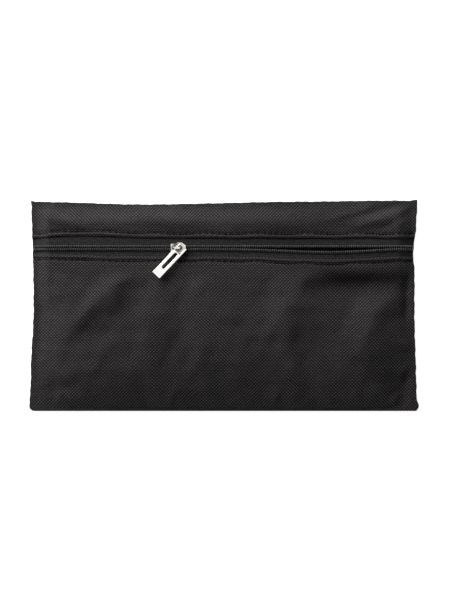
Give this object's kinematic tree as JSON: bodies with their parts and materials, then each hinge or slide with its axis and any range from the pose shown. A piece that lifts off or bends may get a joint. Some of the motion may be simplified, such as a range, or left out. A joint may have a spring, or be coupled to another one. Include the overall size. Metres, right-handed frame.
{
  "type": "pencil case",
  "caption": "Flat zip pouch for pencils, with a zip along the front near the top edge, a sliding pull and a flat back to rest on.",
  "frame": {"origin": "on the resting face, under the middle of the case's outline", "axes": "+X along the zip in the closing direction, +Y towards the edge that the zip is near, +Z out of the front"},
  "size_m": [0.238, 0.1288, 0.0125],
  "materials": {
    "cloth": "woven polyester, matt",
    "tape": "twill tape, matt",
    "coil": "nylon monofilament, satin",
    "thread": "polyester thread",
    "binding": "woven tape",
    "nickel": "bright plated"
  },
  "bodies": {
    "case": {"back_panel": "cloth", "front_panel": "cloth", "upper_front_strip": "cloth", "left_side_seam_thread": "thread", "right_side_seam_thread": "thread", "top_seam_thread": "thread", "bottom_seam_thread": "thread", "left_seam_binding": "binding", "right_seam_binding": "binding"},
    "slider": {"slider_body": "nickel"},
    "pull": {"pull_tab": "nickel"},
    "upper_lip": {"upper_zip_tape": "tape", "upper_coil": "coil", "upper_coil_core_cord": "thread", "upper_coil_sewing_thread": "thread", "upper_topstitch": "thread"},
    "lower_lip": {"lower_zip_tape": "tape", "lower_coil": "coil", "lower_coil_core_cord": "thread", "lower_coil_sewing_thread": "thread", "lower_topstitch": "thread"}
  },
  "joints": [
    {"name": "slider_slide", "type": "slide", "parent": "case", "child": "slider", "axis": [1, 0, 0], "range_m": [-0.0743, 0.1305]},
    {"name": "pull_flip", "type": "hinge", "parent": "slider", "child": "pull", "pos_m": [-0.0293, 0.0356, 0.00995], "axis": [-0.6808, -0.725, 0.1045], "range_deg": [0, 90]},
    {"name": "upper_lip_close", "type": "slide", "parent": "case", "child": "upper_lip", "axis": [0, 0, 1], "range_m": [-0.0018, 0.0031], "deforming": ["upper_zip_tape", "upper_coil", "upper_coil_core_cord", "upper_coil_sewing_thread", "upper_topstitch"]},
    {"name": "lower_lip_close", "type": "slide", "parent": "case", "child": "lower_lip", "axis": [0, 0.7167, -0.6974], "range_m": [-0.0016, 0.0027], "deforming": ["lower_zip_tape", "lower_coil", "lower_coil_core_cord", "lower_coil_sewing_thread", "lower_topstitch"]}
  ],
  "couplings": [
    {"joint": "upper_lip_close", "follows": "slider_slide", "ratio": 0.022988},
    {"joint": "lower_lip_close", "follows": "slider_slide", "ratio": 0.019779}
  ]
}
